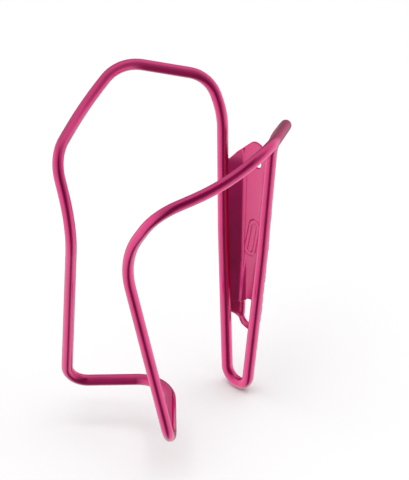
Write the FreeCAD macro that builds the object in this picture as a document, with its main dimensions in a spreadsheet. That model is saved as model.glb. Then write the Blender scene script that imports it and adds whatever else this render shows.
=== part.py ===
import FreeCAD, Part
import math
import os

import Sketcher

# Water bottle cage: one bent rod in a closed loop, welded to a pressed mounting plate.
# Frame: origin midway between the two bolt centres on the plate's rear face, which bears on the bicycle.
# +Z is up along the bottle's axis, +Y points to the bicycle's tube and -Y to the open front.
# Everything is in millimetres, and the cage is mirror-symmetric about the YZ plane, apart from the rod's closing weld.

SIZES = {
    # rod
    "rod_diameter": 4.0,
    # corners of the rod's route on the +X side, each with the radius of its bend
    "rear_plane_y": -6.0,
    "bottom_corner_x": 5.0,
    "bottom_corner_z": -59.7,
    "bottom_corner_bend": 5.2,
    "rear_middle_x": 9.9,
    "rear_middle_z": 0.5,
    "rear_middle_bend": 200.0,
    "rear_upper_x": 12.6,
    "rear_upper_z": 48.5,
    "rear_upper_bend": 23.0,
    "rear_shoulder_x": 20.0,
    "rear_shoulder_z": 60.4,
    "rear_shoulder_bend": 12.5,
    "side_peak_x": 37.9,
    "side_peak_y": -32.8,
    "side_peak_z": 69.1,
    "side_peak_bend": 15.9,
    "arm_middle_x": 35.1,
    "arm_middle_y": -51.8,
    "arm_middle_z": 60.2,
    "arm_middle_bend": 82.0,
    "front_shoulder_x": 25.4,
    "front_shoulder_y": -75.3,
    "front_shoulder_z": 53.2,
    "front_shoulder_bend": 14.3,
    "pinch_x": 12.8,
    "pinch_y": -78.0,
    "pinch_z": 30.9,
    "pinch_bend": 32.7,
    "foot_x": 26.9,
    "foot_y": -65.2,
    "foot_z": -46.4,
    "foot_bend": 6.9,
    "rest_tip_y": -40.0,
    "rest_tip_z": -43.3,
    "rest_tip_bend": 12.5,
    # butt weld that closes the loop, low on the rear run on the -X side
    "closure_z": -46.5,
    "closure_length": 1.2,
    # pressed plate: a channel whose wings rise to the rods, narrower at its lower end
    "sheet": 1.0,
    "press_radius": 1.2,
    "section_height": 42.0,
    "flat_half_lower": 3.53,
    "flat_half_upper": 5.59,
    # plate outline, seen from the front
    "tab_top_z": 39.6,
    "tab_top_half": 2.0,
    "tab_top_round": 4.0,
    "shoulder_x": 7.9,
    "shoulder_z": 32.9,
    "wing_cut_x": 14.0,
    "wing_cut_upper_z": 23.4,
    "wing_cut_lower_z": -6.3,
    "tab_low_radius": 5.3,
    "tab_low_z": -34.7,
    # bolt holes, on the standard spacing for bicycle bottle cages
    "bolt_spacing": 64.0,
    "bolt_hole_radius": 2.6,
    "slot_radius": 3.1,
    "slot_length": 10.6,
    # welds between the wings and the rods
    "bead_radius": 1.0,
    "bead_offset": 1.86,
    "bead_lower_z": -31.5,
    "bead_upper_z": 29.5,
    "bead_lower_angle": 93.0,
    "bead_middle_angle": 98.0,
    "bead_upper_angle": 103.0,
}

doc = FreeCAD.newDocument("bottle_cage")
sheet = doc.addObject("Spreadsheet::Sheet", "sizes")
for row, (name, value) in enumerate(SIZES.items(), start=1):
    sheet.set(f"A{row}", name)
    sheet.set(f"B{row}", str(value))
    sheet.setAlias(f"B{row}", name)
doc.recompute()


def size(name):
    """A driving dimension, read back from the sheet."""
    return float(sheet.get(name))


UP = FreeCAD.Vector(0, 0, 1)


# ---- the rod's route: straight runs joined by tangent arcs ----

def rounded_route(corners, radii):
    """A wire through the corners, with an arc of the given radius at each inner corner."""
    edges = []
    start = corners[0]
    for before, corner, after, radius in zip(corners, corners[1:], corners[2:], radii):
        back = (before - corner).normalize()
        ahead = (after - corner).normalize()
        half_angle = back.getAngle(ahead) / 2
        reach = radius / math.tan(half_angle)
        inward = (back + ahead).normalize()
        arc_start = corner + back * reach
        arc_middle = corner + inward * (radius / math.sin(half_angle) - radius)
        arc_end = corner + ahead * reach
        edges.append(Part.LineSegment(start, arc_start).toShape())
        edges.append(Part.Arc(arc_start, arc_middle, arc_end).toShape())
        start = arc_end
    edges.append(Part.LineSegment(start, corners[-1]).toShape())
    return Part.Wire(edges)


def swept_rod(name, route, radius_expression):
    """A round rod along a route. Its section is a circle bound to the sheet, square to the route's start."""
    spine = doc.addObject("Part::Feature", name + "_route")
    spine.Shape = route
    first = route.OrderedEdges[0]
    section = doc.addObject("Part::Circle", name + "_section")
    section.setExpression("Radius", radius_expression)
    section.Placement = FreeCAD.Placement(
        first.valueAt(first.FirstParameter),
        FreeCAD.Rotation(UP, first.tangentAt(first.FirstParameter)),
    )
    rod = doc.addObject("Part::Sweep", name)
    rod.Sections = [section]
    rod.Spine = (spine, [f"Edge{number + 1}" for number in range(len(route.Edges))])
    rod.Solid = True
    rod.Frenet = False
    return rod


def mirror_point(point):
    return FreeCAD.Vector(-point.x, point.y, point.z)


REAR_CORNERS = ["bottom_corner", "rear_middle", "rear_upper", "rear_shoulder"]
ARM_CORNERS = ["side_peak", "arm_middle", "front_shoulder", "pinch", "foot"]


def corner_of(name):
    """A corner of the rod's route on the +X side."""
    y = size("rear_plane_y") if name in REAR_CORNERS else size(name + "_y")
    return FreeCAD.Vector(size(name + "_x"), y, size(name + "_z"))


def rear_rod_point(z):
    """The point of the +X rear rod's centre line at a height below its upper bend."""
    low, middle, high = (corner_of(name) for name in REAR_CORNERS[:3])
    start, end = (low, middle) if z < middle.z else (middle, high)
    return start + (end - start) * ((z - start.z) / (end.z - start.z))


def closure_ends():
    """Where the rod's two ends stop, each side of the butt weld on the -X rear run: lower, then upper."""
    centre = mirror_point(rear_rod_point(size("closure_z")))
    upward = (mirror_point(corner_of("rear_middle")) - mirror_point(corner_of("bottom_corner"))).normalize()
    half = upward * (size("closure_length") / 2)
    return centre - half, centre + half


def make_wire_loop():
    """The bent rod, from its upper end at the butt weld, round both arms and the U, to its lower end."""
    names = REAR_CORNERS + ARM_CORNERS
    right = [(corner_of(name), size(name + "_bend")) for name in names]
    left = [(mirror_point(corner), bend) for corner, bend in right]
    tip = (FreeCAD.Vector(0, size("rest_tip_y"), size("rest_tip_z")), size("rest_tip_bend"))
    bends = left[1:] + [tip] + right[::-1] + left[:1]
    lower_end, upper_end = closure_ends()
    corners = [upper_end] + [corner for corner, bend in bends] + [lower_end]
    route = rounded_route(corners, [bend for corner, bend in bends])
    print("rod length", round(route.Length, 1))
    return swept_rod("wire_loop", route, "sizes.rod_diameter / 2")


def make_closure_weld():
    """The butt weld between the rod's ends, dressed flush: a disc of the rod's own diameter."""
    lower_end, upper_end = closure_ends()
    disc = doc.addObject("Part::Cylinder", "loop_closure_weld")
    disc.setExpression("Radius", "sizes.rod_diameter / 2")
    disc.setExpression("Height", "sizes.closure_length")
    disc.Placement = FreeCAD.Placement(lower_end, FreeCAD.Rotation(UP, upper_end - lower_end))


# ---- the plate ----

def plane_of(body, role):
    """One of a body's own origin planes, found by its role."""
    return next(feature for feature in body.Origin.OriginFeatures if feature.Role == role)


def new_sketch(body, name, role, height=None):
    """A sketch on an origin plane of the body, raised by an expression when one is given."""
    sketch = body.newObject("Sketcher::SketchObject", name)
    sketch.AttachmentSupport = [(plane_of(body, role), "")]
    sketch.MapMode = "FlatFace"
    if height:
        sketch.setExpression("AttachmentOffset.Base.z", height)
    return sketch


def add_size(sketch, kind, elements, start_value, expression):
    """A dimensional constraint that is bound to the sheet."""
    index = sketch.addConstraint(Sketcher.Constraint(kind, *elements, start_value))
    sketch.setExpression(f"Constraints[{index}]", expression)


def make_web(body):
    """The plate's flat middle, as a tapered pad from the rear face forward."""
    sketch = new_sketch(body, "web_outline", "XZ_Plane")
    height = size("section_height")
    low = size("flat_half_lower")
    high = size("flat_half_upper")
    corners = [
        FreeCAD.Vector(x, z, 0) for x, z in ((-low, -height), (low, -height), (high, height), (-high, height))
    ]
    bottom, right, top, left = [
        sketch.addGeometry(Part.LineSegment(start, end)) for start, end in zip(corners, corners[1:] + corners[:1])
    ]
    origin = (-1, 1)
    vertical_axis = -2
    for constraint in (
        Sketcher.Constraint("Coincident", bottom, 2, right, 1),
        Sketcher.Constraint("Coincident", right, 2, top, 1),
        Sketcher.Constraint("Coincident", top, 2, left, 1),
        Sketcher.Constraint("Coincident", left, 2, bottom, 1),
        Sketcher.Constraint("Symmetric", bottom, 1, bottom, 2, vertical_axis),
        Sketcher.Constraint("Symmetric", top, 1, top, 2, vertical_axis),
    ):
        sketch.addConstraint(constraint)
    add_size(sketch, "DistanceX", (bottom, 1, bottom, 2), 2 * low, "2 * sizes.flat_half_lower")
    add_size(sketch, "DistanceX", (top, 2, top, 1), 2 * high, "2 * sizes.flat_half_upper")
    add_size(sketch, "DistanceY", (bottom, 1, *origin), height, "sizes.section_height")
    add_size(sketch, "DistanceY", (*origin, top, 1), height, "sizes.section_height")
    web = body.newObject("PartDesign::Pad", "web")
    web.Profile = sketch
    web.setExpression("Length", "sizes.sheet")


def wing_section(body, name, height_expression, height, flat_name, rod_run):
    """The pressed section beside the web at one height: a bend, and a wing that aims at the rod's centre."""
    flat = size(flat_name)
    thick = size("sheet")
    inner = size("press_radius")
    rod = rear_rod_point(height)
    to_rod = FreeCAD.Vector(rod.x - flat, rod.y + thick + inner, 0)
    middle_radius = inner + thick / 2
    turn = math.acos(middle_radius / to_rod.Length)
    normal_angle = math.atan2(to_rod.y, to_rod.x) + turn
    normal = FreeCAD.Vector(math.cos(normal_angle), math.sin(normal_angle), 0)
    centre = FreeCAD.Vector(flat, -thick - inner, 0)
    wing_end = FreeCAD.Vector(rod.x, rod.y, 0)
    rear_tangent = centre + normal * (inner + thick)
    front_tangent = centre + normal * inner
    rear_end = wing_end + normal * (thick / 2)
    front_end = wing_end - normal * (thick / 2)
    axis = FreeCAD.Vector(0, 0, 1)
    sketch = new_sketch(body, name, "XY_Plane", height_expression)
    rear_bend = sketch.addGeometry(
        Part.ArcOfCircle(Part.Circle(centre, axis, inner + thick), normal_angle, math.pi / 2))
    rear_wing = sketch.addGeometry(Part.LineSegment(rear_tangent, rear_end))
    wing_edge = sketch.addGeometry(Part.LineSegment(rear_end, front_end))
    front_wing = sketch.addGeometry(Part.LineSegment(front_end, front_tangent))
    front_bend = sketch.addGeometry(
        Part.ArcOfCircle(Part.Circle(centre, axis, inner), normal_angle, math.pi / 2))
    web_edge = sketch.addGeometry(
        Part.LineSegment(FreeCAD.Vector(flat, -thick, 0), FreeCAD.Vector(flat, 0, 0)))
    rod_centre = sketch.addGeometry(Part.Point(wing_end), True)
    origin = (-1, 1)
    horizontal_axis = -1
    for constraint in (
        Sketcher.Constraint("Vertical", web_edge),
        Sketcher.Constraint("PointOnObject", web_edge, 2, horizontal_axis),
        Sketcher.Constraint("Coincident", web_edge, 2, rear_bend, 2),
        Sketcher.Constraint("Vertical", rear_bend, 3, rear_bend, 2),
        Sketcher.Constraint("Tangent", rear_bend, 1, rear_wing, 1),
        Sketcher.Constraint("Coincident", rear_wing, 2, wing_edge, 1),
        Sketcher.Constraint("Coincident", wing_edge, 2, front_wing, 1),
        Sketcher.Constraint("Perpendicular", rear_wing, wing_edge),
        Sketcher.Constraint("Tangent", front_wing, 2, front_bend, 1),
        Sketcher.Constraint("Coincident", front_bend, 2, web_edge, 1),
        Sketcher.Constraint("Coincident", front_bend, 3, rear_bend, 3),
        Sketcher.Constraint("Parallel", front_wing, rear_wing),
        Sketcher.Constraint("Symmetric", rear_wing, 2, front_wing, 1, rod_centre, 1),
    ):
        sketch.addConstraint(constraint)
    add_size(sketch, "DistanceX", (*origin, web_edge, 2), flat, "sizes." + flat_name)
    add_size(sketch, "Distance", (web_edge,), thick, "sizes.sheet")
    add_size(sketch, "DistanceY", (rod_centre, 1, *origin), -rod.y, "-sizes.rear_plane_y")
    below, above = rod_run
    add_size(sketch, "DistanceX", (*origin, rod_centre, 1), rod.x,
             f"sizes.{below}_x + (sizes.{above}_x - sizes.{below}_x)"
             f" * ({height_expression} - sizes.{below}_z) / (sizes.{above}_z - sizes.{below}_z)")
    add_size(sketch, "Radius", (front_bend,), inner, "sizes.press_radius")
    return sketch


def outline_points():
    """The plate's outline on the +X side, seen from the front, from the top down to the lower round tab."""
    cut = FreeCAD.Vector(size("wing_cut_x"), size("wing_cut_lower_z"), 0)
    centre = FreeCAD.Vector(0, size("tab_low_z"), 0)
    to_cut = cut - centre
    angle = math.atan2(to_cut.y, to_cut.x) - math.acos(size("tab_low_radius") / to_cut.Length)
    tangent = centre + FreeCAD.Vector(math.cos(angle), math.sin(angle), 0) * size("tab_low_radius")
    return [
        FreeCAD.Vector(size("tab_top_half"), size("tab_top_z"), 0),
        FreeCAD.Vector(size("shoulder_x"), size("shoulder_z"), 0),
        FreeCAD.Vector(size("wing_cut_x"), size("wing_cut_upper_z"), 0),
        cut,
        tangent,
    ]


def outline_sketch(body):
    """A frame-shaped sketch: everything between the plate's outline and a box well outside it is cut away."""
    sketch = new_sketch(body, "outline", "XZ_Plane")
    right = outline_points()
    left = [mirror_point(point) for point in right]
    ring = right + left[::-1]
    lines = [
        sketch.addGeometry(Part.LineSegment(start, end))
        for start, end in zip(ring, ring[1:])
        if start is not right[-1]
    ]
    top = sketch.addGeometry(Part.LineSegment(ring[-1], ring[0]))
    centre = FreeCAD.Vector(0, size("tab_low_z"), 0)
    end_angle = math.atan2(right[-1].y - centre.y, right[-1].x)
    tab = sketch.addGeometry(Part.ArcOfCircle(
        Part.Circle(centre, FreeCAD.Vector(0, 0, 1), size("tab_low_radius")),
        math.pi - end_angle, 2 * math.pi + end_angle))
    right_lines = lines[:4]
    left_lines = lines[4:]
    origin = (-1, 1)
    vertical_axis = -2
    for first, second in zip(right_lines, right_lines[1:]):
        sketch.addConstraint(Sketcher.Constraint("Coincident", first, 2, second, 1))
    for first, second in zip(left_lines, left_lines[1:]):
        sketch.addConstraint(Sketcher.Constraint("Coincident", first, 2, second, 1))
    for right_line, left_line in zip(right_lines, left_lines[::-1]):
        sketch.addConstraint(Sketcher.Constraint("Symmetric", right_line, 1, left_line, 2, vertical_axis))
    sketch.addConstraint(Sketcher.Constraint("Coincident", top, 2, right_lines[0], 1))
    sketch.addConstraint(Sketcher.Constraint("Coincident", top, 1, left_lines[-1], 2))
    sketch.addConstraint(Sketcher.Constraint("Tangent", right_lines[-1], 2, tab, 2))
    sketch.addConstraint(Sketcher.Constraint("Tangent", left_lines[0], 1, tab, 1))
    sketch.addConstraint(Sketcher.Constraint("PointOnObject", tab, 3, vertical_axis))
    add_size(sketch, "Radius", (tab,), size("tab_low_radius"), "sizes.tab_low_radius")
    add_size(sketch, "DistanceY", (tab, 3, *origin), -centre.y, "-sizes.tab_low_z")
    for line, x_name, z_name in (
        (right_lines[0], "tab_top_half", "tab_top_z"),
        (right_lines[1], "shoulder_x", "shoulder_z"),
        (right_lines[2], "wing_cut_x", "wing_cut_upper_z"),
    ):
        add_size(sketch, "DistanceX", (*origin, line, 1), size(x_name), "sizes." + x_name)
        add_size(sketch, "DistanceY", (*origin, line, 1), size(z_name), "sizes." + z_name)
    add_size(sketch, "DistanceX", (*origin, right_lines[3], 1), size("wing_cut_x"), "sizes.wing_cut_x")
    add_size(sketch, "DistanceY", (right_lines[3], 1, *origin), -size("wing_cut_lower_z"),
             "-sizes.wing_cut_lower_z")
    reach = size("section_height") + 10
    box = [FreeCAD.Vector(x, z, 0) for x, z in ((-reach, -reach), (reach, -reach), (reach, reach), (-reach, reach))]
    sides = [sketch.addGeometry(Part.LineSegment(start, end)) for start, end in zip(box, box[1:] + box[:1])]
    for first, second in zip(sides, sides[1:] + sides[:1]):
        sketch.addConstraint(Sketcher.Constraint("Coincident", first, 2, second, 1))
    for number, side in enumerate(sides):
        sketch.addConstraint(Sketcher.Constraint("Vertical" if number % 2 else "Horizontal", side))
    sketch.addConstraint(Sketcher.Constraint("Symmetric", sides[0], 1, sides[2], 1, *origin))
    add_size(sketch, "DistanceX", (sides[0], 1, sides[0], 2), 2 * reach, "2 * (sizes.section_height + 10)")
    add_size(sketch, "DistanceY", (sides[1], 1, sides[1], 2), 2 * reach, "2 * (sizes.section_height + 10)")
    return sketch


def cut_through(body, sketch, name):
    """Removes a sketch's area from the body, both ways along Y, and checks that it removed something."""
    doc.recompute()
    before = body.Shape.Volume
    pocket = body.newObject("PartDesign::Pocket", name)
    pocket.Profile = sketch
    pocket.Type = "ThroughAll"
    pocket.SideType = "Symmetric"
    doc.recompute()
    if not 0 < pocket.Shape.Volume < before:
        raise RuntimeError(f"{name} cut nothing")
    return pocket


def make_back_plate(rod):
    """The pressed plate: flat web, lofted wing, mirrored, trimmed to its outline, pierced, coped to the rods."""
    body = doc.addObject("PartDesign::Body", "plate_body")
    height = size("section_height")
    make_web(body)
    low = wing_section(body, "lower_section", "-sizes.section_height", -height, "flat_half_lower",
                       ("bottom_corner", "rear_middle"))
    high = wing_section(body, "upper_section", "sizes.section_height", height, "flat_half_upper",
                        ("rear_middle", "rear_upper"))
    doc.recompute()
    wing = body.newObject("PartDesign::AdditiveLoft", "wing")
    wing.Profile = low
    wing.Sections = [high]
    wing.Ruled = True
    doc.recompute()
    both = body.newObject("PartDesign::Mirrored", "both_wings")
    both.Originals = [wing]
    both.MirrorPlane = (plane_of(body, "YZ_Plane"), [""])
    body.Tip = both
    trimmed = cut_through(body, outline_sketch(body), "trimmed")

    corner_edges = [
        f"Edge{number + 1}"
        for number, edge in enumerate(trimmed.Shape.Edges)
        if all(
            abs(abs(vertex.X) - size("tab_top_half")) < 0.01 and abs(vertex.Z - size("tab_top_z")) < 0.01
            for vertex in edge.Vertexes
        )
        and edge.BoundBox.YLength > 0.5 * size("sheet")
    ]
    rounding = body.newObject("PartDesign::Fillet", "tab_corners")
    rounding.Base = (trimmed, corner_edges)
    rounding.setExpression("Radius", "sizes.tab_top_round")

    hole = new_sketch(body, "upper_hole", "XZ_Plane")
    circle = hole.addGeometry(Part.Circle(
        FreeCAD.Vector(0, size("bolt_spacing") / 2, 0), FreeCAD.Vector(0, 0, 1), size("bolt_hole_radius")))
    hole.addConstraint(Sketcher.Constraint("PointOnObject", circle, 3, -2))
    add_size(hole, "DistanceY", (-1, 1, circle, 3), size("bolt_spacing") / 2, "sizes.bolt_spacing / 2")
    add_size(hole, "Radius", (circle,), size("bolt_hole_radius"), "sizes.bolt_hole_radius")
    cut_through(body, hole, "bolt_hole")

    slot = new_sketch(body, "lower_slot", "XZ_Plane")
    radius = size("slot_radius")
    half_run = size("slot_length") / 2 - radius
    middle_z = -size("bolt_spacing") / 2
    ends = [FreeCAD.Vector(0, middle_z + way * half_run, 0) for way in (1, -1)]
    upper = slot.addGeometry(Part.ArcOfCircle(Part.Circle(ends[0], FreeCAD.Vector(0, 0, 1), radius), 0, math.pi))
    lower = slot.addGeometry(
        Part.ArcOfCircle(Part.Circle(ends[1], FreeCAD.Vector(0, 0, 1), radius), math.pi, 2 * math.pi))
    side = FreeCAD.Vector(radius, 0, 0)
    left_side = slot.addGeometry(Part.LineSegment(ends[0] - side, ends[1] - side))
    right_side = slot.addGeometry(Part.LineSegment(ends[1] + side, ends[0] + side))
    for constraint in (
        Sketcher.Constraint("Tangent", upper, 2, left_side, 1),
        Sketcher.Constraint("Tangent", left_side, 2, lower, 1),
        Sketcher.Constraint("Tangent", lower, 2, right_side, 1),
        Sketcher.Constraint("Tangent", right_side, 2, upper, 1),
        Sketcher.Constraint("PointOnObject", upper, 3, -2),
        Sketcher.Constraint("PointOnObject", lower, 3, -2),
    ):
        slot.addConstraint(constraint)
    add_size(slot, "Radius", (lower,), radius, "sizes.slot_radius")
    add_size(slot, "DistanceY", (upper, 3, -1, 1), -ends[0].y,
             "sizes.bolt_spacing / 2 - sizes.slot_length / 2 + sizes.slot_radius")
    add_size(slot, "DistanceY", (lower, 3, -1, 1), -ends[1].y,
             "sizes.bolt_spacing / 2 + sizes.slot_length / 2 - sizes.slot_radius")
    cut_through(body, slot, "bolt_slot")

    plate = doc.addObject("Part::Cut", "back_plate")
    plate.Base = body
    plate.Tool = rod
    return plate


# ---- the welds ----

def bead_route():
    """The bead's centre line behind the +X rod, which leans out from the corner between wing and rod."""
    points = []
    for z, angle_name in (
        (size("bead_lower_z"), "bead_lower_angle"),
        (size("rear_middle_z"), "bead_middle_angle"),
        (size("bead_upper_z"), "bead_upper_angle"),
    ):
        angle = math.radians(size(angle_name))
        lean = FreeCAD.Vector(math.cos(angle), math.sin(angle), 0) * size("bead_offset")
        points.append(rear_rod_point(z) + lean)
    return rounded_route(points, [size("rear_middle_bend")])


def make_wing_welds(rod, plate):
    """The two long fillet welds behind the rods, filled in between rod and wing."""
    bead = swept_rod("bead", bead_route(), "sizes.bead_radius")
    beside_rod = doc.addObject("Part::Cut", "bead_beside_rod")
    beside_rod.Base = bead
    beside_rod.Tool = rod
    right = doc.addObject("Part::Cut", "weld_right")
    right.Base = beside_rod
    right.Tool = plate
    left = doc.addObject("Part::Mirroring", "weld_left")
    left.Source = right
    left.Base = FreeCAD.Vector(0, 0, 0)
    left.Normal = FreeCAD.Vector(1, 0, 0)


wire_loop = make_wire_loop()
make_closure_weld()
back_plate = make_back_plate(wire_loop)
make_wing_welds(wire_loop, back_plate)
doc.recompute()

# ---- checks and files ----

NODES = ["wire_loop", "loop_closure_weld", "back_plate", "weld_right", "weld_left"]

for item in doc.Objects:
    if "Invalid" in item.State or "Error" in item.State:
        raise RuntimeError(f"{item.Name} failed: {item.State}")

os.makedirs("parts", exist_ok=True)
for node in NODES:
    piece = doc.getObject(node)
    piece.Label = node
    shape = piece.Shape
    if shape.isNull() or not shape.isValid():
        raise RuntimeError(f"{node} has no valid shape")
    shape.exportStep(f"parts/{node}.step")
    print(node, len(shape.Solids), "solid,", round(shape.Volume, 1), "mm3")
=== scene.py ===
import math

import bpy
import numpy as np
from mathutils import Matrix, Vector
from mathutils.geometry import delaunay_2d_cdt


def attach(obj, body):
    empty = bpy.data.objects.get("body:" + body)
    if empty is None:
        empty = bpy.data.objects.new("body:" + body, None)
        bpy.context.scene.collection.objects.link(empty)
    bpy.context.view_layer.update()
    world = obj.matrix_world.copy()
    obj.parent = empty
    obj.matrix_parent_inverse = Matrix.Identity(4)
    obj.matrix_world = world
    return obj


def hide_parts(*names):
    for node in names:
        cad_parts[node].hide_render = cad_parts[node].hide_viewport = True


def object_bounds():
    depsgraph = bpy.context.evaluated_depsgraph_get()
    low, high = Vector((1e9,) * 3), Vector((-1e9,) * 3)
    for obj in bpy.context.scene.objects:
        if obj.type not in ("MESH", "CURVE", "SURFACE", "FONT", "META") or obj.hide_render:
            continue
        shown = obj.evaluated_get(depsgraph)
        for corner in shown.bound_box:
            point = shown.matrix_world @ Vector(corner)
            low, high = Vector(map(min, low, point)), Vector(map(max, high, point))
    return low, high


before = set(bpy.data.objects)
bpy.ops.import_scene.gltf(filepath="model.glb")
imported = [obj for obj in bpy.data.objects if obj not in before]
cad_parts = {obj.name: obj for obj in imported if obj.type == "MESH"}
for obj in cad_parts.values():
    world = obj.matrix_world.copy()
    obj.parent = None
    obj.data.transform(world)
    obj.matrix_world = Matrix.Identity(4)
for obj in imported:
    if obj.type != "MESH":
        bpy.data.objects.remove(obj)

# Lengths are worked out in millimetres, in the CAD frame, and scaled to metres when a mesh is made.
MM = 0.001
CAD_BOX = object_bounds()

# ---------------------------------------------------------------- camera
CAMERA_AZIMUTH = 44.88
CAMERA_ELEVATION = 33.15
CAMERA_ROLL = 2.11
CAMERA_TARGET = Vector((-12.0, -13.25, -1.69)) * MM
CAMERA_DISTANCE = 2.5
CAMERA_LENS = 526.9
CAMERA_SENSOR = 36.0
CAMERA_NEAR = 0.05
CAMERA_FAR = 50.0


def direction(azimuth, elevation):
    """Unit vector from the object towards a viewer at these angles, in degrees."""
    a = math.radians(azimuth)
    e = math.radians(elevation)
    return Vector((math.sin(a) * math.cos(e), -math.cos(a) * math.cos(e), math.sin(e)))


def add_camera():
    """The camera, looking at its target from its azimuth and elevation, rolled about its axis."""
    back = direction(CAMERA_AZIMUTH, CAMERA_ELEVATION)
    right = (-back).cross(Vector((0, 0, 1))).normalized()
    up = back.cross(right)
    roll = math.radians(CAMERA_ROLL)
    across = right * math.cos(roll) + up * math.sin(roll)
    upward = up * math.cos(roll) - right * math.sin(roll)
    data = bpy.data.cameras.new("camera")
    data.lens = CAMERA_LENS
    data.sensor_width = CAMERA_SENSOR
    data.clip_start = CAMERA_NEAR
    data.clip_end = CAMERA_FAR
    camera = bpy.data.objects.new("camera", data)
    turn = Matrix((across, upward, back)).transposed().to_4x4()
    camera.matrix_world = Matrix.Translation(CAMERA_TARGET + back * CAMERA_DISTANCE) @ turn
    bpy.context.scene.collection.objects.link(camera)
    bpy.context.scene.camera = camera


# ---------------------------------------------------------------- studio
FLOOR_HALF = 6.0
FLOOR_COLOR = (0.93, 0.93, 0.93, 1)
FLOOR_ROUGHNESS = 0.9
FLOOR_GLOSS = 0.1
# Patches of the studio that are darker or brighter than the rest: azimuth, elevation, the angles from the
# centre at which the patch is full and gone, and its brightness. With no elevation it runs from floor to
# ceiling.
STUDIO_PATCHES = (
    (56, None, 13, 36, 0.13),
    (88, 42, 18, 50, 0.45),
    (0, 60, 10, 45, 0.75),
    (-45, -15, 30, 80, 1.25),
    (150, -30, 20, 60, 1.30),
    (185, 8, 8, 30, 1.25),
    (225, -15, 24, 50, 0.26),
    (-105, 25, 15, 45, 0.75),
)
STUDIO_STRENGTH = 0.95


def add_floor():
    """A plain pale floor at the lowest point of the CAD."""
    z = CAD_BOX[0][2]
    s = FLOOR_HALF
    mesh = bpy.data.meshes.new("floor")
    mesh.from_pydata([(-s, -s, z), (s, -s, z), (s, s, z), (-s, s, z)], [], [(0, 1, 2, 3)])
    floor = bpy.data.objects.new("floor", mesh)
    bpy.context.scene.collection.objects.link(floor)
    paper = bpy.data.materials.new("floor_paper")
    paper.use_nodes = True
    shader = paper.node_tree.nodes["Principled BSDF"]
    shader.inputs["Base Color"].default_value = FLOOR_COLOR
    shader.inputs["Roughness"].default_value = FLOOR_ROUGHNESS
    shader.inputs["Specular IOR Level"].default_value = FLOOR_GLOSS
    mesh.materials.append(paper)
    floor.visible_glossy = False


def add_world():
    """A white studio with a tall dark gap beside the camera, darker corners and brighter panels."""
    world = bpy.data.worlds.new("studio")
    world.use_nodes = True
    nodes = world.node_tree.nodes
    links = world.node_tree.links
    nodes.clear()
    coords = nodes.new("ShaderNodeTexCoord")
    level = nodes.new("ShaderNodeVectorMath")
    level.operation = "MULTIPLY"
    level.inputs[1].default_value = (1, 1, 0)
    level_unit = nodes.new("ShaderNodeVectorMath")
    level_unit.operation = "NORMALIZE"
    links.new(coords.outputs["Generated"], level.inputs[0])
    links.new(level.outputs[0], level_unit.inputs[0])
    total = None
    for azimuth, elevation, inner, outer, factor in STUDIO_PATCHES:
        facing = nodes.new("ShaderNodeVectorMath")
        facing.operation = "DOT_PRODUCT"
        facing.inputs[1].default_value = direction(azimuth, elevation or 0)
        source = level_unit if elevation is None else coords
        links.new(source.outputs[0], facing.inputs[0])
        patch = nodes.new("ShaderNodeMapRange")
        patch.interpolation_type = "SMOOTHSTEP"
        patch.inputs["From Min"].default_value = math.cos(math.radians(outer))
        patch.inputs["From Max"].default_value = math.cos(math.radians(inner))
        patch.inputs["To Min"].default_value = 1.0
        patch.inputs["To Max"].default_value = factor
        links.new(facing.outputs["Value"], patch.inputs["Value"])
        if total is None:
            total = patch
            continue
        product = nodes.new("ShaderNodeMath")
        product.operation = "MULTIPLY"
        links.new(total.outputs[0], product.inputs[0])
        links.new(patch.outputs[0], product.inputs[1])
        total = product
    background = nodes.new("ShaderNodeBackground")
    background.inputs["Strength"].default_value = STUDIO_STRENGTH
    out = nodes.new("ShaderNodeOutputWorld")
    links.new(total.outputs[0], background.inputs["Color"])
    links.new(background.outputs[0], out.inputs["Surface"])
    bpy.context.scene.world = world


def add_softbox(name, azimuth, elevation, distance, width, height, power):
    """A soft rectangular light, aimed at the origin and not seen in reflections."""
    back = direction(azimuth, elevation)
    data = bpy.data.lights.new(name, "AREA")
    data.shape = "RECTANGLE"
    data.size = width
    data.size_y = height
    data.energy = power
    light = bpy.data.objects.new(name, data)
    turn = back.to_track_quat("Z", "Y").to_matrix().to_4x4()
    light.matrix_world = Matrix.Translation(back * distance) @ turn
    light.visible_glossy = False
    bpy.context.scene.collection.objects.link(light)


# ---------------------------------------------------------------- finish
METAL = (0.68, 0.006, 0.180)
TINT_SPREAD = 0.06
GLOSS_SPREAD = 0.03
COAT_WEIGHT = 0.8
COAT_ROUGHNESS = 0.10
COAT_IOR = 1.7
MOTTLE_SCALE = 160.0
MOTTLE_DETAIL = 4.0
GRAIN_DETAIL = 3.0
GRAIN_STRENGTH = 0.5
# mottling noise below and above these values has the darkest and the lightest tint
TINT_LOW = 0.3
TINT_HIGH = 0.7


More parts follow.
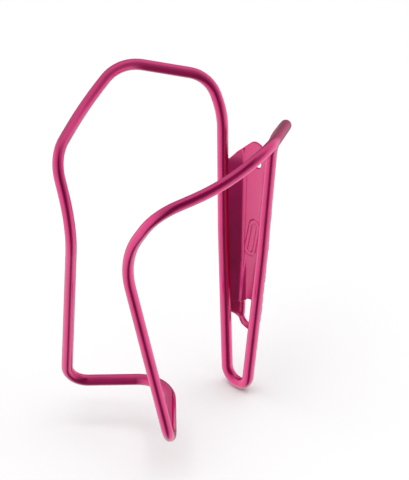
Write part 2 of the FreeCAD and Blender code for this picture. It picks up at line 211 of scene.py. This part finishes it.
def aluminium(name, roughness, ripple, ripple_size):
    """Magenta anodised aluminium: tinted metal under a clear sealed layer, with faint mottling and grain.

    The grain's height and size are ripple and ripple_size, in millimetres.
    """
    finish = bpy.data.materials.new(name)
    finish.use_nodes = True
    nodes = finish.node_tree.nodes
    links = finish.node_tree.links
    shader = nodes["Principled BSDF"]
    shader.inputs["Metallic"].default_value = 1.0
    shader.inputs["Coat Weight"].default_value = COAT_WEIGHT
    shader.inputs["Coat Roughness"].default_value = COAT_ROUGHNESS
    shader.inputs["Coat IOR"].default_value = COAT_IOR
    coords = nodes.new("ShaderNodeTexCoord")
    mottle = nodes.new("ShaderNodeTexNoise")
    mottle.inputs["Scale"].default_value = MOTTLE_SCALE
    mottle.inputs["Detail"].default_value = MOTTLE_DETAIL
    tint = nodes.new("ShaderNodeValToRGB")
    tint.color_ramp.elements[0].position = TINT_LOW
    tint.color_ramp.elements[0].color = (*[c * (1.0 - TINT_SPREAD) for c in METAL], 1)
    tint.color_ramp.elements[1].position = TINT_HIGH
    tint.color_ramp.elements[1].color = (*[c * (1.0 + TINT_SPREAD) for c in METAL], 1)
    gloss = nodes.new("ShaderNodeMapRange")
    gloss.inputs["To Min"].default_value = roughness - GLOSS_SPREAD
    gloss.inputs["To Max"].default_value = roughness + GLOSS_SPREAD
    grain = nodes.new("ShaderNodeTexNoise")
    grain.inputs["Scale"].default_value = 1.0 / (ripple_size * MM)
    grain.inputs["Detail"].default_value = GRAIN_DETAIL
    bump = nodes.new("ShaderNodeBump")
    bump.inputs["Strength"].default_value = GRAIN_STRENGTH
    bump.inputs["Distance"].default_value = ripple * MM
    links.new(coords.outputs["Object"], mottle.inputs["Vector"])
    links.new(coords.outputs["Object"], grain.inputs["Vector"])
    links.new(mottle.outputs["Fac"], tint.inputs["Fac"])
    links.new(tint.outputs["Color"], shader.inputs["Base Color"])
    links.new(mottle.outputs["Fac"], gloss.inputs["Value"])
    links.new(gloss.outputs["Result"], shader.inputs["Roughness"])
    links.new(grain.outputs["Fac"], bump.inputs["Height"])
    links.new(bump.outputs["Normal"], shader.inputs["Normal"])
    return finish


def add_mesh(name, corners, faces, material):
    """A new piece from corners in metres and faces."""
    mesh = bpy.data.meshes.new(name)
    mesh.from_pydata([tuple(c) for c in corners], [], [tuple(int(i) for i in f) for f in faces])
    mesh.validate()
    mesh.materials.append(material)
    piece = bpy.data.objects.new(name, mesh)
    bpy.context.scene.collection.objects.link(piece)
    return piece


# ---------------------------------------------------------------- plate
# The pressed plate is a height field: each face of the sheet is y(x, z), worked out in millimetres.
SHEET = 1.0
ROD_Y = -6.0
# the rod's centre line behind the bottle: its lowest corner, its slight bend and its upper bend, as (x, z)
ROD_LOW = (5.0, -59.7)
ROD_BEND = (9.9, 0.5)
ROD_HIGH = (12.6, 48.5)
# holes
HOLE_Z = 32.0
HOLE_RADIUS = 2.6
HOLE_STEPS = 64
SLOT_RADIUS = 3.1
SLOT_TOP = -29.8
SLOT_BOTTOM = -34.2
SLOT_STEPS = 12
# outline on the +X side: top tab, shoulder, the cuts' crossings outside the rods, and the round lower tab
TAB_TOP = 39.6
TAB_TOP_HALF = 2.0
TAB_TOP_ROUND = 4.0
SHOULDER_X = 7.9
SHOULDER_Z = 33.3
CUT_X = 14.0
CUT_UPPER_Z = 23.4
CUT_LOWER_Z = -6.3
TAB_RADIUS = 5.3
TAB_Z = -34.5
WELD_INSET = 0.9
OUTLINE_STEP = 0.35
CUT_SEARCH_STEP = 0.05
ROD_EDGE_STEPS = 170
TOP_ARC_STEPS = 14
TAB_ARC_STEPS = 24
# rounded edges: their radius, the rings of points this far in from an edge, and the gap before the grid
EDGE_ROUND = 0.3
EDGE_RINGS = (0.0, 0.02, 0.07, 0.15, 0.3)
EDGE_CLEARANCE = 0.1
# fold between flat and wing: half width at z = 0, its growth per millimetre, its step inward, half the
# width of its round corner, and its spread outward, per square of the height above a level
FOLD_HALF = 4.69
FOLD_GROWTH = 0.02
FOLD_STEP = 0.42
FOLD_STEP_FROM = -11.5
FOLD_STEP_TO = -18.5
FOLD_CORNER = 0.5
SPREAD = 0.04
SPREAD_FROM = 29.0
# dish of the flat: rise per square of the half width, and its growth down the flat and on the lower tab
CUP = 0.014
CUP_FLAT = 0.012
CUP_FLAT_FROM = 14.0
CUP_FLAT_TO = -21.0
CUP_TAB = 0.02
CUP_TAB_FROM = -33.0
CUP_TAB_TO = -36.0
# facets beside the lower end of the flat: from their tips down to the seat, where foot, width, slope and
# fold jump
FACET_TOP = -11.8
FACET_END = -28.1
FACET_SLOPE = 0.76
FACET_FOOT = 2.6
FACET_FOOT_SHIFT = 0.85
FACET_WIDTH = 1.55
FACET_WIDTH_POWER = 0.6
FACET_CORNER = 0.1
SEAT_ABOVE = 0.3
SEAT_BELOW = 0.5
SEAT_FOOT = 1.60
SEAT_WIDTH = 0.95
SEAT_SLOPE = 1.1
SEAT_FOLD = 0.28
# wings: distance of their front face in front of the rods' centre line, and their easing at the shoulders
WING_LEAD = 0.9
WING_EASE = 0.3
WING_EASE_FROM = 27.5
WING_EASE_TO = 33.5
# facets and wings fade between these heights, down the lower tab
TAB_START = -32.0
TAB_FLAT = -37.0
# stiffening bead, leaning with height: rim and hollow as half height, radius, height or depth, and the
# distances outside and inside the shape's edge between which it rises
RIB_LEAN = 0.16
RIB_RIM = (8.0, 2.7, 0.40, 0.25, 0.35)
RIB_HOLLOW = (6.3, 1.2, 0.30, 0.2, 0.3)
# long panel on the front face: half width at z = 0, its growth per millimetre, its step's height and
# half width, and the heights between which it fades at each end
PANEL_HALF = 3.82
PANEL_GROWTH = 0.008
PANEL_STEP = 0.05
PANEL_EDGE = 0.10
PANEL_LOWER = (-17.0, -9.0)
PANEL_UPPER = (29.0, 33.0)
# the panel's fine outline: its centre outside the edge, and its outer and inner half widths
GROOVE_CENTRE = 0.06
GROOVE_OUTER = 0.20
GROOVE_INNER = 0.04
# the sheet's slope is measured over this distance each way, and thickens it along Y, up to this slope
PROBE = 0.05
STEEPEST = 1.2
# points over the plate: half width, lowest and highest row, gap along and between rows, and sideways shift
COARSE_ROWS = (14.0, -39.0, 40.2, 0.22, 0.5, 0.11)
FINE_ROWS = (4.95, -14.0, 27.0, 0.13, 0.16, 0.065)
# the coarse points stay outside this box, as half width, bottom and top
FINE_BOX = (5.0, -14.1, 26.9)
MERGE_DISTANCE = 1e-7


def rise(low, high, value):
    """0 at low, 1 at high, with a smooth change between them."""
    t = np.clip((value - low) / (high - low), 0.0, 1.0)
    return t * t * (3.0 - 2.0 * t)


def ramp(distance, half):
    """0 up to -half and the distance itself beyond half, with a round corner between them."""
    near = np.clip(distance + half, 0.0, 2.0 * half)
    return near * near / (4.0 * half) + np.maximum(distance - half, 0.0)


def rod_x(z):
    """Centre of the +X rear rod at height z."""
    low_x, low_z = ROD_LOW
    bend_x, bend_z = ROD_BEND
    high_x, high_z = ROD_HIGH
    below = low_x + (bend_x - low_x) * (z - low_z) / (bend_z - low_z)
    above = bend_x + (high_x - bend_x) * (z - bend_z) / (high_z - bend_z)
    return np.where(z < bend_z, below, above)


def stadium(x, z, half_height, radius):
    """Signed distance to an upright stadium shape about the origin."""
    return np.hypot(x, np.maximum(np.abs(z) - (half_height - radius), 0.0)) - radius


def raised(x, z, half_height, radius, height, outside, within):
    """A stadium shape raised to its height, rising between its distances outside and inside the edge."""
    return height * rise(outside, -within, stadium(x, z, half_height, radius))


def pressed(x, z):
    """How far the sheet is pressed forward: dished flat, facets, wings and stiffening bead."""
    side = np.abs(x)
    # the channel's fold steps inward beside the facets, and its corner spreads outward to the shoulders
    fold = FOLD_HALF + FOLD_GROWTH * z - FOLD_STEP * rise(FOLD_STEP_FROM, FOLD_STEP_TO, z)
    spread = SPREAD * np.maximum(0.0, z - SPREAD_FROM) ** 2
    cup = CUP + CUP_FLAT * rise(CUP_FLAT_FROM, CUP_FLAT_TO, z) + CUP_TAB * rise(CUP_TAB_FROM, CUP_TAB_TO, z)
    dish = cup * np.minimum(side, fold) ** 2
    # facets rise beside the lower end of the flat, and stand up steeply beside the seat round the slot
    down = np.clip((FACET_TOP - z) / (FACET_TOP - FACET_END), 0.0, 1.0)
    seat = rise(FACET_END + SEAT_ABOVE, FACET_END - SEAT_BELOW, z)
    foot = FACET_FOOT - FACET_FOOT_SHIFT * down + SEAT_FOOT * seat
    width = FACET_WIDTH * down**FACET_WIDTH_POWER - SEAT_WIDTH * seat
    steep = FACET_SLOPE + SEAT_SLOPE * seat
    facet = steep * (ramp(side - foot, FACET_CORNER) - ramp(side - foot - width, FACET_CORNER))
    fold = fold + SEAT_FOLD * seat
    # wings, which rise from the fold to the rods and ease towards the shoulders
    lift = cup * fold**2 + steep * width
    slope = (WING_LEAD - ROD_Y - SHEET - lift) / (rod_x(z) - fold)
    ease = 1.0 - WING_EASE * rise(WING_EASE_FROM, WING_EASE_TO, z)
    wing = slope * ramp(side - fold - spread, FOLD_CORNER) * ease
    # facets and wings die away towards the end of the round tab
    flatten = rise(TAB_FLAT, TAB_START, z)
    lean = x - RIB_LEAN * z
    bead = raised(lean, z, *RIB_RIM)
    hollow = raised(lean, z, *RIB_HOLLOW)
    return dish + (facet + wing) * flatten + bead - hollow


def coined(x, z):
    """How far the front face alone stands proud: the long panel, less its fine outline."""
    panel = np.abs(x) - (PANEL_HALF + PANEL_GROWTH * z)
    faded = rise(*PANEL_LOWER, z) * (1.0 - rise(*PANEL_UPPER, z))
    step = PANEL_STEP * rise(PANEL_EDGE, -PANEL_EDGE, panel)
    groove = PANEL_STEP * rise(GROOVE_OUTER, GROOVE_INNER, np.abs(panel - GROOVE_CENTRE))
    return (step - groove) * faded


def outline():
    """The right half of the plate's edge from top middle to bottom middle, as (x, z) points."""
    points = []

    def arc(cx, cz, radius, start, stop, steps):
        for k in range(steps + 1):
            a = math.radians(start + (stop - start) * k / steps)
            points.append((cx + radius * math.cos(a), cz + radius * math.sin(a)))

    def line(x0, z0, x1, z1):
        steps = max(1, int(math.hypot(x1 - x0, z1 - z0) / OUTLINE_STEP))
        for k in range(1, steps):
            points.append((x0 + (x1 - x0) * k / steps, z0 + (z1 - z0) * k / steps))

    # top tab: rounded corner, then the slanted edge down to the shoulder and on to the rod
    slant = math.atan2(TAB_TOP - SHOULDER_Z, TAB_TOP_HALF - SHOULDER_X)
    turn = math.degrees(slant) - 90.0
    half = math.tan(math.radians((90.0 - turn) / 2)) * TAB_TOP_ROUND
    arc(TAB_TOP_HALF - half, TAB_TOP - TAB_TOP_ROUND, TAB_TOP_ROUND, 90.0, turn, TOP_ARC_STEPS)
    line(*points[-1], SHOULDER_X, SHOULDER_Z)
    points.append((SHOULDER_X, SHOULDER_Z))
    upper_slope = (CUT_X - SHOULDER_X) / (SHOULDER_Z - CUT_UPPER_Z)
    reach = SHOULDER_Z
    while SHOULDER_X + (SHOULDER_Z - reach) * upper_slope < float(rod_x(np.array(reach))) - WELD_INSET:
        reach -= CUT_SEARCH_STEP
    line(SHOULDER_X, SHOULDER_Z, SHOULDER_X + (SHOULDER_Z - reach) * upper_slope, reach)
    # down the rod, with the edge inside it, and back along the lower slanted edge to the round tab
    to_cut = math.hypot(CUT_X, CUT_LOWER_Z - TAB_Z)
    tangent = math.degrees(math.atan2(CUT_LOWER_Z - TAB_Z, CUT_X) - math.acos(TAB_RADIUS / to_cut))
    tx = TAB_RADIUS * math.cos(math.radians(tangent))
    tz = TAB_Z + TAB_RADIUS * math.sin(math.radians(tangent))
    slope = (CUT_X - tx) / (CUT_LOWER_Z - tz)
    low = tz
    while tx + (low - tz) * slope < float(rod_x(np.array(low))) - WELD_INSET:
        low += CUT_SEARCH_STEP
    for k in range(ROD_EDGE_STEPS + 1):
        z = reach + (low - reach) * k / ROD_EDGE_STEPS
        points.append((float(rod_x(np.array(z))) - WELD_INSET, z))
    line(tx + (low - tz) * slope, low, tx, tz)
    arc(0.0, TAB_Z, TAB_RADIUS, tangent, -90.0, TAB_ARC_STEPS)
    return points


def inside(points, ring):
    """Which of the points lie inside the closed ring, by counting crossings."""
    found = np.zeros(len(points), bool)
    stop = np.roll(ring, -1, axis=0)
    for (x0, z0), (x1, z1) in zip(ring, stop):
        if z0 == z1:
            continue
        crosses = (points[:, 1] > z0) != (points[:, 1] > z1)
        at = x0 + (points[:, 1] - z0) * (x1 - x0) / (z1 - z0)
        found ^= crosses & (points[:, 0] < at)
    return found


def inset(ring, distance):
    """The closed ring moved into the sheet: the outline runs clockwise seen from the front, holes do not."""
    before = np.roll(ring, 1, axis=0)
    after = np.roll(ring, -1, axis=0)
    along = after - before
    along /= np.linalg.norm(along, axis=1)[:, None]
    return ring + np.column_stack((along[:, 1], -along[:, 0])) * distance


def edge_distance(points, rings):
    """Distance of each point to the nearest ring corner or side."""
    best = np.full(len(points), 1e9)
    for ring in rings:
        stop = np.roll(ring, -1, axis=0)
        for start, end in zip(ring, stop):
            side = end - start
            t = np.clip(((points - start) @ side) / max(side @ side, 1e-12), 0.0, 1.0)
            gap = points - start - t[:, None] * side
            best = np.minimum(best, np.hypot(gap[:, 0], gap[:, 1]))
    return best


def staggered_rows(half_width, low, high, gap, pitch, stagger, first_row):
    """Rows of points from low up to high, every other row shifted sideways, and the next row's number."""
    rows = []
    row = first_row
    for z in np.arange(low, high, pitch):
        shift = stagger if row % 2 else 0.0
        x = np.arange(-half_width, half_width, gap) + shift
        rows.append(np.column_stack((x, np.full(len(x), z))))
        row += 1
    return np.vstack(rows), row


def plate_grid():
    """Points over the plate, closer together where the panel and the stiffening bead are."""
    coarse, row = staggered_rows(*COARSE_ROWS, 0)
    fine, _ = staggered_rows(*FINE_ROWS, row)
    half_width, bottom, top = FINE_BOX
    keep = (np.abs(coarse[:, 0]) > half_width) | (coarse[:, 1] < bottom) | (coarse[:, 1] > top)
    return np.vstack((coarse[keep], fine))


def make_plate(material):
    """The pressed sheet: its front and rear faces over one flat mesh, joined by walls along every edge."""
    right = np.array(outline())
    left = right[::-1] * np.array((-1.0, 1.0))
    outer = np.vstack((right, left[1:]))
    turn = np.linspace(0.0, 2.0 * math.pi, HOLE_STEPS, endpoint=False)
    circle = np.column_stack((np.cos(turn), np.sin(turn)))
    upper = circle[turn < math.pi]
    down = np.linspace(SLOT_TOP, SLOT_BOTTOM, SLOT_STEPS + 1)[:-1]
    round_hole = circle * HOLE_RADIUS + (0.0, HOLE_Z)
    slot = np.vstack((
        upper * SLOT_RADIUS + (0.0, SLOT_TOP),
        np.column_stack((np.full(SLOT_STEPS, -SLOT_RADIUS), down)),
        -upper * SLOT_RADIUS + (0.0, SLOT_BOTTOM),
        np.column_stack((np.full(SLOT_STEPS, SLOT_RADIUS), SLOT_TOP + SLOT_BOTTOM - down)),
    ))
    rings = [outer, round_hole, slot]
    points = []
    depth = []
    edges = []
    for ring in rings:
        for ring_depth in EDGE_RINGS:
            moved = inset(ring, ring_depth)
            first = sum(len(p) for p in points)
            count = len(moved)
            points.append(moved)
            depth.append(np.full(count, ring_depth))
            if ring_depth == 0.0:
                edges += [(first + k, first + (k + 1) % count) for k in range(count)]
    grid = plate_grid()
    ok = inside(grid, outer) & ~inside(grid, round_hole) & ~inside(grid, slot)
    grid = grid[ok]
    gap = edge_distance(grid, rings)
    grid = grid[gap > EDGE_ROUND + EDGE_CLEARANCE]
    points.append(grid)
    depth.append(np.full(len(grid), 1.0))
    flat = np.vstack(points)
    depth = np.concatenate(depth)
    verts, _, tris, _, _, _ = delaunay_2d_cdt([Vector(p) for p in flat], edges, [], 0, MERGE_DISTANCE)
    if len(verts) != len(flat):
        raise RuntimeError("the plate's outline crosses itself")
    tris = np.array(tris)
    middle = flat[tris].mean(axis=1)
    kept = inside(middle, outer) & ~inside(middle, round_hole) & ~inside(middle, slot)
    # a triangle whose corners all lie on an edge is a sliver along it
    kept &= depth[tris].max(axis=1) > 0.0
    tris = tris[kept]
    x = flat[:, 0]
    z = flat[:, 1]
    short = np.maximum(EDGE_ROUND - depth, 0.0)
    rounding = EDGE_ROUND - np.sqrt(np.maximum(EDGE_ROUND**2 - short**2, 0.0))
    press = pressed(x, z)
    across = (pressed(x + PROBE, z) - pressed(x - PROBE, z)) / (2.0 * PROBE)
    along = (pressed(x, z + PROBE) - pressed(x, z - PROBE)) / (2.0 * PROBE)
    front = -SHEET - press - coined(x, z) + rounding
    steep = np.minimum(across**2 + along**2, STEEPEST**2)
    rear = np.minimum(SHEET * (np.sqrt(1.0 + steep) - 1.0) - press, 0.0) - rounding
    count = len(flat)
    corners = np.vstack((np.column_stack((x, front, z)), np.column_stack((x, rear, z)))) * MM
    faces = [tuple(t) for t in tris] + [tuple(t[::-1] + count) for t in tris]
    faces += [(a, b, b + count, a + count) for a, b in edges]
    return add_mesh("back_plate_pressed", corners, faces, material)


# ---------------------------------------------------------------- welds
BEAD_TOP = 29.5
BEAD_LOW = -31.5
BEAD_RINGS = 420
BEAD_SIDES = 28
# a bead's centre follows the rod's at this distance, at an angle from +X that turns with height
BEAD_OFFSET = 1.86
BEAD_LOW_ANGLE = 93.0
BEAD_TURN = 10.0
BEAD_TURN_FROM = -31.0
BEAD_TURN_LENGTH = 61.0
# length of the dome at each end, and the least square of its radius
BEAD_END = 0.9
BEAD_TIP = 0.02
# ripples of uneven pitch, curved round the bead by a lag: radius between ripples, height and crest power
RIPPLE_PITCH = 4.6
RIPPLE_LAG = 0.55
RIPPLE_LAG_ANGLE = 70.0
RIPPLE_ROOT = 0.90
RIPPLE_HEIGHT = 0.16
RIPPLE_POWER = 0.7
# waves along the bead: two shift the ripples and one swells the bead, each as size and radians per mm,
# starting at the bead's seed, which is multiplied for the short one
DRIFT_LONG = (0.5, 0.61)
DRIFT_SHORT = (0.35, 1.37)
DRIFT_SHORT_SEED = 2.1
SWELL = (0.05, 0.47)
# each weld bead's name, the node that it replaces, its side and the seed of its waves
WELD_BEADS = (
    ("weld_bead_right", "weld_right", 1, 0.4),
    ("weld_bead_left", "weld_left", -1, 1.9),
)


def make_bead(name, side, seed, material):
    """A weld bead behind one rod, with scalloped ripples of uneven pitch, domed at both ends."""
    corners = []
    length = BEAD_TOP - BEAD_LOW
    for k in range(BEAD_RINGS + 1):
        t = k / BEAD_RINGS
        z = BEAD_LOW + length * t
        angle = math.radians(BEAD_LOW_ANGLE + BEAD_TURN * (z - BEAD_TURN_FROM) / BEAD_TURN_LENGTH)
        x = float(rod_x(np.array(z))) + BEAD_OFFSET * math.cos(angle)
        y = ROD_Y + BEAD_OFFSET * math.sin(angle)
        end = min(z - BEAD_LOW, BEAD_TOP - z)
        dome = math.sqrt(max(BEAD_TIP, 1.0 - max(0.0, 1.0 - end / BEAD_END) ** 2))
        drift_long = DRIFT_LONG[0] * math.sin(z * DRIFT_LONG[1] + seed)
        drift_short = DRIFT_SHORT[0] * math.sin(z * DRIFT_SHORT[1] + DRIFT_SHORT_SEED * seed)
        swell = SWELL[0] * math.sin(z * SWELL[1] + seed)
        for j in range(BEAD_SIDES):
            turn = 2.0 * math.pi * j / BEAD_SIDES
            lag = RIPPLE_LAG * math.cos(turn - math.radians(RIPPLE_LAG_ANGLE))
            run = z + lag + drift_long + drift_short
            scallop = abs(math.sin(math.pi * run / RIPPLE_PITCH)) ** RIPPLE_POWER
            radius = dome * (RIPPLE_ROOT + RIPPLE_HEIGHT * scallop + swell)
            corners.append((side * (x + radius * math.cos(turn)), y + radius * math.sin(turn), z))
    faces = []
    for k in range(BEAD_RINGS):
        for j in range(BEAD_SIDES):
            a = k * BEAD_SIDES + j
            b = k * BEAD_SIDES + (j + 1) % BEAD_SIDES
            faces.append((a, b, b + BEAD_SIDES, a + BEAD_SIDES))
    faces.append(tuple(range(BEAD_SIDES))[::-1])
    faces.append(tuple(BEAD_RINGS * BEAD_SIDES + j for j in range(BEAD_SIDES)))
    if side < 0:
        faces = [f[::-1] for f in faces]
    return add_mesh(name, np.array(corners) * MM, faces, material)


# ---------------------------------------------------------------- build
add_camera()
add_floor()
add_world()
add_softbox("overhead", azimuth=45, elevation=80, distance=1.5, width=1.6, height=1.6, power=14.0)

rod_finish = aluminium("anodised_rod", roughness=0.40, ripple=0.002, ripple_size=0.9)
plate_finish = aluminium("anodised_sheet", roughness=0.42, ripple=0.002, ripple_size=0.7)
weld_finish = aluminium("anodised_weld", roughness=0.38, ripple=0.008, ripple_size=0.5)

for name in ("wire_loop", "loop_closure_weld"):
    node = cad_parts[name]
    node.data.materials.clear()
    node.data.materials.append(rod_finish)

plate = make_plate(plate_finish)
plate.data.shade_smooth()
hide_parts("back_plate")
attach(plate, "root")

for name, node_name, side, seed in WELD_BEADS:
    bead = make_bead(name, side, seed, weld_finish)
    bead.data.shade_smooth()
    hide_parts(node_name)
    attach(bead, "root")

bpy.context.scene.view_settings.view_transform = "Standard"
